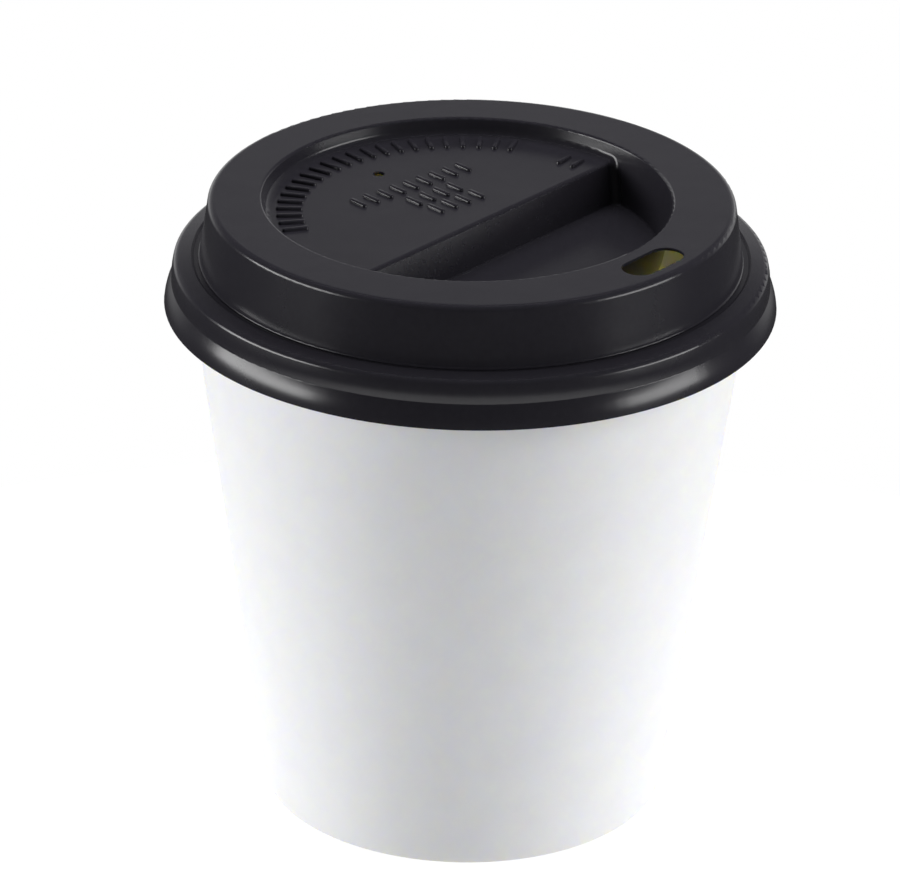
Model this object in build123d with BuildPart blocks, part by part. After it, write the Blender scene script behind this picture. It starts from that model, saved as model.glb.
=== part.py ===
from build123d import *
import os
from math import asin, atan2, cos, degrees, hypot, radians, sin, tan

# A single-wall paper coffee cup with a sip lid that snaps over its rim, in millimetres.
# It stands on z = 0 with its axis on Z, and the drink hole is on the -Y side.

# Paper cup: outside sizes
cup_height = 61.9  # table to the top of the rolled rim
base_radius = 21.95  # outside of the wall at the table
rim_radius = 31.7  # outside of the rolled rim

# Paper cup: board, folds and seam
paper = 0.33  # board of the side wall
bottom_paper = 0.33  # board of the bottom
rim_roll = 0.8  # radius of the rolled rim's section
rim_turn = 295.0  # degrees that the rim curls round
foot_recess = 5.6  # table to the underside of the bottom
hem_height = 4.8  # table to the edge of the turned-in hem
foot_round = 0.25  # outside of the fold at the table
bottom_bend = 0.35  # inside of the bend where the bottom turns down
seal_gap = 0.02  # film of the heat seal on each side of the skirt
lap_width = 6.0  # overlap of the side seam at half height
lap_fade = 11.0  # run over which a lapped layer settles to the round wall
lap_step = 0.16  # pressed height of a lapped edge
seam_angle = 90.0  # degrees from +X to the middle of the seam

# Lid: sheet and fit on the rim
lid_sheet = 0.3  # thermoformed sheet
lid_clearance = 0.15  # between the shoulder and the rolled rim
ledge_inset = 0.85  # middle of the rolled rim in to the inner edge of the shoulder's top
ledge_fall = 10.0  # degrees that the shoulder's top falls outwards
ridge_round = 0.7  # outer edge of the shoulder's top
shoulder_height = 2.45  # outer edge of the shoulder's top down to the snap crease
shoulder_lean = 0.32  # how far the shoulder leans in from the crease to its top
shoulder_round = 6.3  # bulge of the shoulder
crease_round = 0.2  # hollow of the crease
skirt_height = 2.55  # crease to the skirt's lower edge
skirt_flare = 0.8  # crease out to the skirt's lower edge
skirt_round = 6.4  # bulge of the skirt

# Lid: shallow dip inside the shoulder, and dome
dip_depth = 0.2  # inner edge of the shoulder's top down to the dip
dip_slant = 0.3  # run of the slope down into the dip
dip_width = 0.55  # flat of the dip, out from the dome's foot
foot_bead = 0.2  # radius of the fine bead round the dome's foot
bead_rise = 0.1  # dip up to the middle of the bead
dome_height = 6.7  # dip to the raised ring
dome_draft = 8.5  # degrees
ring_round = 0.7  # outer edge of the raised ring

# Lid: recess in the top, set back from the drink hole
ring_width = 6.2  # raised ring, from its outer edge to the recess, at the sides
recess_shift = 0.7  # away from the drink hole
recess_draft = 11.0  # degrees
recess_lip_round = 0.3  # edge between the raised ring and the recess
floor_depth = 1.8  # raised ring to the shallow floor
trench_depth = 6.1  # raised ring to the bottom of the trench
trench_round = 0.35  # round the bottom of the trench
recess_round = 0.8  # foot of the recess wall, along the shallow floor and down the step
step_offset = 1.95  # lid's axis to the step's upper edge
step_draft = 19.0  # degrees
step_round = 0.5  # upper edge of the step

# Lid: holes
drink_length = 8.3
drink_width = 3.75
vent_diameter = 1.3
vent_inset = 8.2  # recess's edge to the vent, on the side away from the drink hole
vent_shift = 1.5  # lid's middle line to the vent
overrun = 1.0  # cuts go this far past what they cut

# Cone of the wall: its outside touches the inside of the rolled rim
roll_reach = rim_radius - rim_roll
roll_height = cup_height - rim_roll
roll_span = hypot(roll_reach - base_radius, roll_height)
wall_angle = atan2(roll_reach - base_radius, roll_height) - asin((rim_roll - paper) / roll_span)
wall_slope = tan(wall_angle)
inward = Vector(-cos(wall_angle), sin(wall_angle))
roll_centre = Vector(roll_reach, roll_height)
roll_start = 180.0 - degrees(wall_angle)
wall_top = roll_centre + inward * (rim_roll - paper)
mouth = roll_centre + inward * rim_roll
slot_width = (bottom_paper + seal_gap + seal_gap) / cos(wall_angle)
across_paper = paper / cos(wall_angle)
bottom_top = foot_recess + bottom_paper


def outside_radius(height):
    return base_radius + height * wall_slope


def inside_radius(height):
    return outside_radius(height) - across_paper


def hem_radius(height):
    return inside_radius(height) - slot_width


def polar(radius, angle):
    return Vector(radius * cos(radians(angle)), radius * sin(radians(angle)))


# Side wall: one blank with a rolled rim, a turned-in hem and a lapped seam
lap_low = paper
lap_high = cup_height - rim_roll - rim_roll - paper
lap_angle = degrees(lap_width / outside_radius(cup_height / 2))
fade_angle = degrees(lap_fade / outside_radius(cup_height / 2))
lap_sink = paper / 2


def lapped_layer(face_radius, edge_angle, step, sink, fade):
    """Section of a lapped layer: proud of the face at its edge, then sunk in the wall."""
    mid = edge_angle + fade / 2
    end = edge_angle + fade
    edge = polar(face_radius + step, edge_angle)
    root = polar(face_radius - sink, edge_angle)
    tip = polar(face_radius - sink, end)
    Line(root, edge)
    ThreePointArc(edge, polar(face_radius + (step - sink) / 2, mid), tip)
    ThreePointArc(tip, polar(face_radius - sink, mid), root)


with BuildPart() as cup_sidewall:
    with BuildSketch(Plane.XZ) as wall_section:
        with BuildLine():
            Line((base_radius, 0), wall_top)
            roll_inside = CenterArc(roll_centre, rim_roll - paper, roll_start, -rim_turn)
            roll_outside = CenterArc(roll_centre, rim_roll, roll_start, -rim_turn)
            Line(roll_inside @ 1, roll_outside @ 1)
            Polyline(
                mouth,
                (inside_radius(paper), paper),
                (hem_radius(paper), paper),
                (hem_radius(hem_height), hem_height),
                (hem_radius(hem_height) - across_paper, hem_height),
                (hem_radius(0) - across_paper, 0),
                (base_radius, 0),
            )
        make_face()
        fillet(wall_section.vertices().group_by(Axis.Y)[0], foot_round)
    revolve(axis=Axis.Z)
    for height in (lap_low, lap_high):
        with BuildSketch(Plane.XY.offset(height)):
            with BuildLine():
                lapped_layer(outside_radius(height), seam_angle - lap_angle / 2, lap_step, lap_sink, fade_angle)
            make_face()
    loft(ruled=True)
    for height in (bottom_top, lap_high):
        with BuildSketch(Plane.XY.offset(height)):
            with BuildLine():
                lapped_layer(inside_radius(height), seam_angle + lap_angle / 2, -lap_step, -lap_sink, -fade_angle)
            make_face()
    loft(ruled=True)

# Bottom: a disc with its edge turned down between the wall and the hem
skirt_low = paper + seal_gap
across_bottom = bottom_paper / cos(wall_angle)
across_seal = seal_gap / cos(wall_angle)


def turned_radius(height):
    return inside_radius(height) - across_seal


with BuildPart() as cup_bottom:
    with BuildSketch(Plane.XZ) as bottom_section:
        with BuildLine():
            Polyline(
                (0, bottom_top),
                (turned_radius(bottom_top), bottom_top),
                (turned_radius(skirt_low), skirt_low),
                (turned_radius(skirt_low) - across_bottom, skirt_low),
                (turned_radius(foot_recess) - across_bottom, foot_recess),
                (0, foot_recess),
                close=True,
            )
        make_face()
        outer_bend = (turned_radius(bottom_top), bottom_top)
        inner_bend = (turned_radius(foot_recess) - across_bottom, foot_recess)
        fillet(bottom_section.vertices().sort_by_distance(outer_bend)[0], bottom_bend + bottom_paper)
        fillet(bottom_section.vertices().sort_by_distance(inner_bend)[0], bottom_bend)
    revolve(axis=Axis.Z)

# Lid: the shoulder stands over the rolled rim, and the dome rises inside it
ledge_slope = tan(radians(ledge_fall))
dome_slope = tan(radians(dome_draft))
seat_height = cup_height + lid_clearance + lid_sheet
ledge = Vector(roll_reach - ledge_inset, seat_height + ledge_inset * ledge_slope)
shoulder_reach = rim_radius + lid_clearance + lid_sheet - shoulder_lean
shoulder_top = Vector(shoulder_reach, seat_height - (shoulder_reach - roll_reach) * ledge_slope)
crease = shoulder_top + Vector(shoulder_lean, -shoulder_height)
skirt_edge = crease + Vector(skirt_flare, -skirt_height)
dip = ledge - Vector(dip_slant, dip_depth)
dome_foot = dip - Vector(dip_width, 0)
ring_height = dome_foot.Y + dome_height
ring_radius = dome_foot.X - dome_height * dome_slope
bead_reach = dome_foot.X - bead_rise * dome_slope - foot_bead / 2
recess_radius = ring_radius - ring_width
drink_reach = (ring_radius + recess_radius - recess_shift) / 2
vent_reach = recess_shift + recess_radius - vent_inset

with BuildPart() as lid_shell:
    with BuildSketch(Plane.XZ) as lid_section:
        with BuildLine():
            RadiusArc(skirt_edge, crease, -skirt_round)
            RadiusArc(crease, shoulder_top, -shoulder_round)
            Polyline(
                shoulder_top,
                ledge,
                dip,
                dome_foot,
                (ring_radius, ring_height),
                (0, ring_height),
                (0, skirt_edge.Y),
                skirt_edge,
            )
        make_face()
        for corner, corner_round in (
            (crease, crease_round),
            (shoulder_top, ridge_round),
            ((ring_radius, ring_height), ring_round),
        ):
            fillet(lid_section.vertices().sort_by_distance(corner)[0], corner_round)
    revolve(axis=Axis.Z)
    offset(amount=-lid_sheet, openings=lid_shell.faces().sort_by(Axis.Z)[0])


def recess_form(grow, rise):
    """The lid's recess as a solid, grown on every wall and raised past the ring."""
    low = ring_height - trench_depth - grow
    high = ring_height - floor_depth - grow
    top = ring_height + rise
    slope = tan(radians(recess_draft))
    lip = recess_radius + grow / cos(radians(recess_draft))
    step_slope = tan(radians(step_draft))
    step_high = grow / cos(radians(step_draft)) - step_offset - grow * step_slope
    step_low = step_high - (high - low + overrun) * step_slope
    back = recess_shift + lip + overrun
    with BuildPart() as form:
        with Locations((0, recess_shift, low)):
            Cone(
                lip - (ring_height - low) * slope,
                lip + rise * slope,
                top - low,
                align=(Align.CENTER, Align.CENTER, Align.MIN),
            )
        with BuildSketch(Plane.YZ) as step:
            with BuildLine():
                Polyline((step_high, high), (step_low, low - overrun), (back, low - overrun), (back, high), close=True)
            make_face()
            fillet(step.vertices().sort_by_distance((step_high, high))[0], step_round)
        extrude(amount=lip + overrun, both=True, mode=Mode.SUBTRACT)
        levels = form.edges().group_by(Axis.Z)
        wall_foot = form.edges() - levels[0] - levels[-1]
        wall_foot = wall_foot.filter_by(Axis.X, reverse=True)
        wall_foot = wall_foot.filter_by(lambda edge: (edge @ 0.5).Z < ring_height - floor_depth / 2)
        fillet(wall_foot, recess_round + grow)
        fillet(form.edges().group_by(Axis.Z)[0], trench_round + grow)
    return form.part


pan = recess_form(lid_sheet, 0)
hollow = recess_form(0, overrun)

with BuildPart() as lid:
    add(lid_shell.part)
    with Locations((0, 0, dome_foot.Y + bead_rise)):
        Torus(bead_reach, foot_bead)
    add(pan)
    add(hollow, mode=Mode.SUBTRACT)
    lip_edge = lid.edges().filter_by(GeomType.CIRCLE).group_by(Axis.Z)[-1].sort_by(SortBy.RADIUS)[0]
    fillet(lip_edge, recess_lip_round)
    with BuildSketch(Plane.XY.offset(ring_height)):
        with Locations((0, -drink_reach)):
            SlotOverall(drink_length, drink_width)
    extrude(amount=-lid_sheet - overrun, mode=Mode.SUBTRACT)
    with Locations((vent_shift, vent_reach, ring_height - floor_depth)):
        Hole(vent_diameter / 2, lid_sheet + overrun)

os.makedirs("parts", exist_ok=True)
for name, piece in (("cup_sidewall", cup_sidewall), ("cup_bottom", cup_bottom), ("lid", lid)):
    piece.part.label = name
    export_step(piece.part, f"parts/{name}.step")
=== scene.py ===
import math

import bpy
from mathutils import Matrix, Vector


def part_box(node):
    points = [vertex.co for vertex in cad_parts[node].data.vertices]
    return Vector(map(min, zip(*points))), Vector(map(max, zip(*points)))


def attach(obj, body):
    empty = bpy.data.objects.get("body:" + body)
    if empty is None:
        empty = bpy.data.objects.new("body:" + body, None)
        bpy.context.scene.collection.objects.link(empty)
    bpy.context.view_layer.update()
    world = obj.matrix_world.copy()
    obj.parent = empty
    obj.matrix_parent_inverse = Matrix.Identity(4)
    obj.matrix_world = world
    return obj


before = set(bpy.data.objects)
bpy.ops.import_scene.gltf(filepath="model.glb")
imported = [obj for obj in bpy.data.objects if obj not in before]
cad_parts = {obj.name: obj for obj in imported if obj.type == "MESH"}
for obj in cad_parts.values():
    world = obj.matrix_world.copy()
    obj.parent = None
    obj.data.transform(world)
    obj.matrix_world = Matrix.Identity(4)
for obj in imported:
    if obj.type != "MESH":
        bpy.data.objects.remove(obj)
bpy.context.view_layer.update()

# A small white paper cup with a black sip lid, in metres, on a white studio floor.
# The cup stands on z = 0 with its axis on Z, and the drink hole is on the -Y side.

lid_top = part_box("lid")[1][2]

# Camera: a long lens that looks down on the cup from its front left; angles in degrees
CAMERA_AZIMUTH = -50.0
CAMERA_ELEVATION = 25.563
CAMERA_ROLL = 0.946
CAMERA_DISTANCE = 0.664594
CAMERA_TARGET = Vector((-0.001245, 0.001483, 0.04010))
CAMERA_LENS = 244.2
SENSOR_WIDTH = 36.0

# Softboxes as (azimuth and elevation from the camera's side, distance, width, height, radiance).
# The lid mirrors the first group, and the second group only lights.
LIGHT_TARGET = Vector((0.0, 0.0, 0.04))
MIRRORED_SOFTBOXES = {
    "strip_left": (-81.0, 8.5, 1.3, 1.1, 0.37, 7.9),
    "strip_right": (74.0, 6.5, 1.3, 0.8, 0.39, 5.6),
}
UNMIRRORED_SOFTBOXES = {
    "softbox_top": (180.0, 63.0, 1.3, 1.2, 0.8, 8.0),
    "fill_left": (-77.0, 12.0, 1.3, 0.6, 0.5, 5.1),
    "fill_right": (77.0, 12.0, 1.3, 0.6, 0.5, 4.8),
    "softbox_right": (75.0, 32.0, 1.3, 0.6, 0.6, 5.0),
}

# A dim room, and the backdrop behind the cup that the lid mirrors; heights in degrees above the horizon
BACKGROUND_WHITE = 1.0
ROOM_LIGHT = 0.035
BACKDROP_LOW = 1.0  # strength at the horizon
BACKDROP_HIGH = 0.37  # strength at the top
BACKDROP_TOP = 14.0
BACKDROP_FADE = 16.0  # above the top, until it is gone
BACKDROP_FOOT = -20.0
BACKDROP_SIDE = 0.5  # cosine of the angle from straight behind the cup at which it ends

# Floor: a disc that reaches further towards the camera
FLOOR_RADIUS = 0.15
FLOOR_SHIFT = 0.07
FLOOR_SIDES = 96
FLOOR_TONE = 0.2
FLOOR_GLOW = 0.48
FLOOR_WHITE = 0.42  # added to the glow where the floor is seen, also in a mirror or through glass

# Paper board
WALL_COLOUR = (0.925, 0.9, 0.857)
BOTTOM_COLOUR = (0.84, 0.84, 0.83)
MOTTLE_SCALE, MOTTLE_DETAIL = 260.0, 4.0
MOTTLE_SHADE = 0.975  # darkest mottling, as a share of the colour
MOTTLE_RANGE = (0.3, 0.7)
FIBRE_SCALE, FIBRE_DETAIL = 2600.0, 3.0
FIBRE_BUMP, FIBRE_DEPTH = 0.12, 0.00004
BOARD_ROUGHNESS = (0.8, 0.95)
BOARD_SPECULAR = 0.3
BOARD_GLOW = (1.0, 0.87, 0.46)  # how far red, green and blue light spread in the board
BOARD_GLOW_DEPTH = 0.0007

# Black plastic sheet
SHEET_DARK = (0.015, 0.014, 0.0182)
SHEET_LIGHT = (0.0194, 0.0184, 0.0232)
SHEET_ROUGHNESS = (0.18, 0.27)
SHEET_IOR = 1.5
SHEET_DETAIL = 2.0
WAVE_SCALE, WAVE_BUMP, WAVE_DEPTH = 120.0, 0.15, 0.0002
GRAIN_SCALE, GRAIN_BUMP, GRAIN_DEPTH = 1500.0, 0.05, 0.00003

# Plain raised ribs on the lid's shallow floor: an arc along the recess's back wall, and short rows
SHALLOW_FLOOR_DEPTH = 0.0018  # below the lid's raised ring
RIB_HEIGHT = 0.00034
RIB_HALF_WIDTH = 0.00033
RIB_SINK = 0.00003
RIB_SIDES = 24
# Rings of a rib, from its foot to its top, as shares of its half width and its height
RIB_RING_SHARES = ((1.0, 0.0), (0.93, 0.42), (0.8, 0.74), (0.6, 0.92), (0.3, 1.0))
# The arc's angles are in degrees from +X
ARC_MIDDLE = Vector((0.0, 0.0007))
ARC_RADIUS = 0.019
ARC_FROM, ARC_TO, ARC_RIBS = 147.0, 25.0, 23
ARC_RIB_LENGTH = 0.0023
ROW_RIB_LENGTH = 0.0019
# Rows as (middle of the first rib, middle of the last rib, how many)
RIB_ROWS = (
    (Vector((-0.0062, 0.0107)), Vector((0.0089, 0.0088)), 9),
    (Vector((-0.0018, 0.0066)), Vector((0.0041, 0.0059)), 4),
    (Vector((-0.0017, 0.0036)), Vector((0.0042, 0.0029)), 4),
    (Vector((0.0179, 0.0020)), Vector((0.0181, 0.0003)), 2),
)


def direction(azimuth, elevation):
    """Unit vector from the object towards a viewer; azimuth 0 stands on the -Y side."""
    a, e = math.radians(azimuth), math.radians(elevation)
    return Vector((math.sin(a) * math.cos(e), -math.cos(a) * math.cos(e), math.sin(e)))


def node(tree, kind, inputs=None, **settings):
    """A new shader node with these settings, its inputs set to values or linked to sockets."""
    made = tree.nodes.new("ShaderNode" + kind)
    for name, value in settings.items():
        setattr(made, name, value)
    for name, value in (inputs or {}).items():
        if isinstance(value, bpy.types.NodeSocket):
            tree.links.new(value, made.inputs[name])
        else:
            made.inputs[name].default_value = value
    return made


def blank_tree(owner):
    """The owner's node tree, emptied."""
    owner.use_nodes = True
    owner.node_tree.nodes.clear()
    return owner.node_tree


def finish_tree(tree, shader, kind="OutputMaterial"):
    """The shader's result goes to a new output node."""
    out = node(tree, kind)
    tree.links.new(shader.outputs[0], out.inputs["Surface"])


def noise(tree, place, scale, detail):
    return node(tree, "TexNoise", {"Vector": place, "Scale": scale, "Detail": detail}).outputs["Fac"]


def between(tree, value, limits):
    """The value, from 0 to 1, spread between two limits."""
    spread = {"Value": value, "To Min": limits[0], "To Max": limits[1]}
    return node(tree, "MapRange", spread).outputs["Result"]


def ramp(tree, value, low, high, at_low, at_high):
    """A smooth change from one level to another as the value goes from low to high."""
    limits = {"Value": value, "From Min": low, "From Max": high, "To Min": at_low, "To Max": at_high}
    return node(tree, "MapRange", limits, interpolation_type="SMOOTHSTEP").outputs["Result"]


def two_tones(tree, value, dark, light, places=(0.0, 1.0)):
    """A colour that goes from dark to light as the value goes from one place to the other."""
    tone = node(tree, "ValToRGB", {"Fac": value})
    for stop, place, colour in zip(tone.color_ramp.elements, places, (dark, light)):
        stop.position = place
        stop.color = (*colour, 1.0)
    return tone.outputs["Color"]


def times(tree, first, second):
    return node(tree, "Math", {0: first, 1: second}, operation="MULTIPLY").outputs[0]


def ray_kinds(tree, names):
    """1 for the kinds of ray that are named, and 0 for the others."""
    path = node(tree, "LightPath")
    total = path.outputs[names[0]]
    for name in names[1:]:
        total = node(tree, "Math", {0: total, 1: path.outputs[name]}, operation="MAXIMUM").outputs[0]
    return total


def make_camera():
    data = bpy.data.cameras.new("camera")
    data.lens = CAMERA_LENS
    data.sensor_width = SENSOR_WIDTH
    camera = bpy.data.objects.new("camera", data)
    back = direction(CAMERA_AZIMUTH, CAMERA_ELEVATION)
    turn = back.to_track_quat("Z", "Y").to_matrix().to_4x4()
    roll = Matrix.Rotation(math.radians(CAMERA_ROLL), 4, "Z")
    camera.matrix_world = Matrix.Translation(CAMERA_TARGET + back * CAMERA_DISTANCE) @ turn @ roll
    bpy.context.scene.collection.objects.link(camera)
    bpy.context.scene.camera = camera


def make_softbox(name, azimuth, elevation, distance, width, height, radiance, mirrored):
    data = bpy.data.lights.new(name, "AREA")
    data.shape = "RECTANGLE"
    data.size = width
    data.size_y = height
    data.energy = radiance * math.pi * width * height
    light = bpy.data.objects.new(name, data)
    towards = direction(CAMERA_AZIMUTH + azimuth, elevation)
    turn = towards.to_track_quat("Z", "Y").to_matrix().to_4x4()
    light.matrix_world = Matrix.Translation(LIGHT_TARGET + towards * distance) @ turn
    light.visible_camera = False
    light.visible_glossy = mirrored
    bpy.context.scene.collection.objects.link(light)


def make_world():
    """White where it is looked at; a dim room with a pale backdrop behind the cup where it is mirrored."""
    world = bpy.data.worlds.new("studio")
    bpy.context.scene.world = world
    tree = blank_tree(world)
    view = node(tree, "TexCoord").outputs["Generated"]
    behind = -direction(CAMERA_AZIMUTH, 0.0)
    facing = node(tree, "VectorMath", {0: view, 1: behind}, operation="DOT_PRODUCT").outputs["Value"]
    height = node(tree, "SeparateXYZ", {0: view}).outputs["Z"]
    foot = math.sin(math.radians(BACKDROP_FOOT))
    top = math.sin(math.radians(BACKDROP_TOP))
    gone = math.sin(math.radians(BACKDROP_TOP + BACKDROP_FADE))
    side = ramp(tree, facing, BACKDROP_SIDE, 1.0, 0.0, 1.0)
    card = ramp(tree, height, 0.0, top, BACKDROP_LOW, BACKDROP_HIGH)
    above = ramp(tree, height, top, gone, 1.0, 0.0)
    below = ramp(tree, height, foot, 0.0, 0.0, 1.0)
    lit = times(tree, card, times(tree, above, below))
    backdrop = node(tree, "Math", {0: side, 1: lit, 2: ROOM_LIGHT}, operation="MULTIPLY_ADD").outputs[0]
    mirrored = ray_kinds(tree, ["Is Glossy Ray"])
    room = {"Factor": mirrored, "A": ROOM_LIGHT, "B": backdrop}
    dim = node(tree, "Mix", room, data_type="FLOAT").outputs["Result"]
    white = ray_kinds(tree, ["Is Camera Ray", "Is Transmission Ray"])
    seen = {"Factor": white, "A": dim, "B": BACKGROUND_WHITE}
    strength = node(tree, "Mix", seen, data_type="FLOAT").outputs["Result"]
    shade = node(tree, "Background", {"Color": (1.0, 1.0, 1.0, 1.0), "Strength": strength})
    finish_tree(tree, shade, "OutputWorld")


def floor_material():
    """Pale and softly lit; it reads as white where it is looked at, and keeps the shadow."""
    material = bpy.data.materials.new("studio_floor")
    tree = blank_tree(material)
    paint = node(tree, "BsdfDiffuse", {"Color": (FLOOR_TONE, FLOOR_TONE, FLOOR_TONE, 1.0)})
    white = ray_kinds(tree, ["Is Camera Ray", "Is Glossy Ray", "Is Transmission Ray"])
    glow = ramp(tree, white, 0.0, 1.0, FLOOR_GLOW, FLOOR_GLOW + FLOOR_WHITE)
    shine = node(tree, "Emission", {"Strength": glow})
    both = node(tree, "AddShader", {0: paint.outputs[0], 1: shine.outputs[0]})
    finish_tree(tree, both)
    return material


def make_floor():
    mesh = bpy.data.meshes.new("floor")
    middle = direction(CAMERA_AZIMUTH, 0.0) * FLOOR_SHIFT
    turns = [2.0 * math.pi * i / FLOOR_SIDES for i in range(FLOOR_SIDES)]
    points = [middle + FLOOR_RADIUS * Vector((math.cos(a), math.sin(a), 0.0)) for a in turns]
    mesh.from_pydata(points, [], [range(FLOOR_SIDES)])
    mesh.materials.append(floor_material())
    floor = bpy.data.objects.new("floor", mesh)
    bpy.context.scene.collection.objects.link(floor)


def paper_material(name, colour):
    """Uncoated white board: faint mottling, fine fibres, and warm light through its thickness."""
    material = bpy.data.materials.new(name)
    tree = blank_tree(material)
    place = node(tree, "TexCoord").outputs["Object"]
    mottle = noise(tree, place, MOTTLE_SCALE, MOTTLE_DETAIL)
    fibre = noise(tree, place, FIBRE_SCALE, FIBRE_DETAIL)
    shaded = tuple(MOTTLE_SHADE * c for c in colour)
    relief = {"Height": fibre, "Strength": FIBRE_BUMP, "Distance": FIBRE_DEPTH}
    board = node(
        tree,
        "BsdfPrincipled",
        {
            "Base Color": two_tones(tree, mottle, shaded, colour, MOTTLE_RANGE),
            "Roughness": between(tree, fibre, BOARD_ROUGHNESS),
            "Normal": node(tree, "Bump", relief).outputs["Normal"],
            "Specular IOR Level": BOARD_SPECULAR,
            "Subsurface Weight": 1.0,
            "Subsurface Radius": BOARD_GLOW,
            "Subsurface Scale": BOARD_GLOW_DEPTH,
        },
    )
    finish_tree(tree, board)
    return material


def plastic_material(name):
    """Black thermoformed sheet: satin, with slight unevenness in its surface."""
    material = bpy.data.materials.new(name)
    tree = blank_tree(material)
    place = node(tree, "TexCoord").outputs["Object"]
    wave = noise(tree, place, WAVE_SCALE, SHEET_DETAIL)
    grain = noise(tree, place, GRAIN_SCALE, SHEET_DETAIL)
    swell = {"Height": wave, "Strength": WAVE_BUMP, "Distance": WAVE_DEPTH}
    uneven = node(tree, "Bump", swell).outputs["Normal"]
    relief = {"Height": grain, "Strength": GRAIN_BUMP, "Distance": GRAIN_DEPTH, "Normal": uneven}
    sheet = node(
        tree,
        "BsdfPrincipled",
        {
            "Base Color": two_tones(tree, grain, SHEET_DARK, SHEET_LIGHT),
            "Roughness": between(tree, wave, SHEET_ROUGHNESS),
            "Normal": node(tree, "Bump", relief).outputs["Normal"],
            "IOR": SHEET_IOR,
        },
    )
    finish_tree(tree, sheet)
    return material


def add_rib(points, faces, middle, along, length, base):
    """A low rounded bar with its middle line on the given direction, as rings from its foot to its top."""
    across = Vector((-along.y, along.x))
    first = len(points)
    for spread, rise in RIB_RING_SHARES:
        for side in range(RIB_SIDES):
            turn = 2.0 * math.pi * (side + 0.5) / RIB_SIDES
            end = math.copysign(length / 2.0, math.cos(turn)) + RIB_HALF_WIDTH * spread * math.cos(turn)
            spot = middle + along * end + across * (RIB_HALF_WIDTH * spread * math.sin(turn))
            points.append((spot.x, spot.y, base + (RIB_HEIGHT + RIB_SINK) * rise))
    for ring in range(len(RIB_RING_SHARES) - 1):
        low = first + ring * RIB_SIDES
        for side in range(RIB_SIDES):
            after = (side + 1) % RIB_SIDES
            faces.append((low + side, low + after, low + RIB_SIDES + after, low + RIB_SIDES + side))
    top = first + (len(RIB_RING_SHARES) - 1) * RIB_SIDES
    faces.append(tuple(range(top, top + RIB_SIDES)))


def make_ribs(material):
    points, faces = [], []
    base = lid_top - SHALLOW_FLOOR_DEPTH - RIB_SINK
    for i in range(ARC_RIBS):
        turn = math.radians(ARC_FROM + (ARC_TO - ARC_FROM) * i / (ARC_RIBS - 1))
        outward = Vector((math.cos(turn), math.sin(turn)))
        add_rib(points, faces, ARC_MIDDLE + outward * ARC_RADIUS, outward, ARC_RIB_LENGTH, base)
    for start, end, count in RIB_ROWS:
        run = (end - start).normalized()
        for i in range(count):
            middle = start.lerp(end, i / (count - 1))
            add_rib(points, faces, middle, Vector((-run.y, run.x)), ROW_RIB_LENGTH, base)
    mesh = bpy.data.meshes.new("lid_ribs")
    mesh.from_pydata(points, [], faces)
    for face in mesh.polygons:
        face.use_smooth = True
    mesh.materials.append(material)
    ribs = bpy.data.objects.new("lid_ribs", mesh)
    bpy.context.scene.collection.objects.link(ribs)
    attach(ribs, "lid")


def dress(name, material):
    """The CAD node keeps its form and takes this finish."""
    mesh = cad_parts[name].data
    mesh.materials.clear()
    mesh.materials.append(material)


make_camera()
for softbox, setting in MIRRORED_SOFTBOXES.items():
    make_softbox(softbox, *setting, mirrored=True)
for softbox, setting in UNMIRRORED_SOFTBOXES.items():
    make_softbox(softbox, *setting, mirrored=False)
make_world()
make_floor()
dress("cup_sidewall", paper_material("paper_wall", WALL_COLOUR))
dress("cup_bottom", paper_material("paper_bottom", BOTTOM_COLOUR))
lid_plastic = plastic_material("lid_plastic")
dress("lid", lid_plastic)
make_ribs(lid_plastic)

bpy.context.scene.view_settings.view_transform = "Standard"
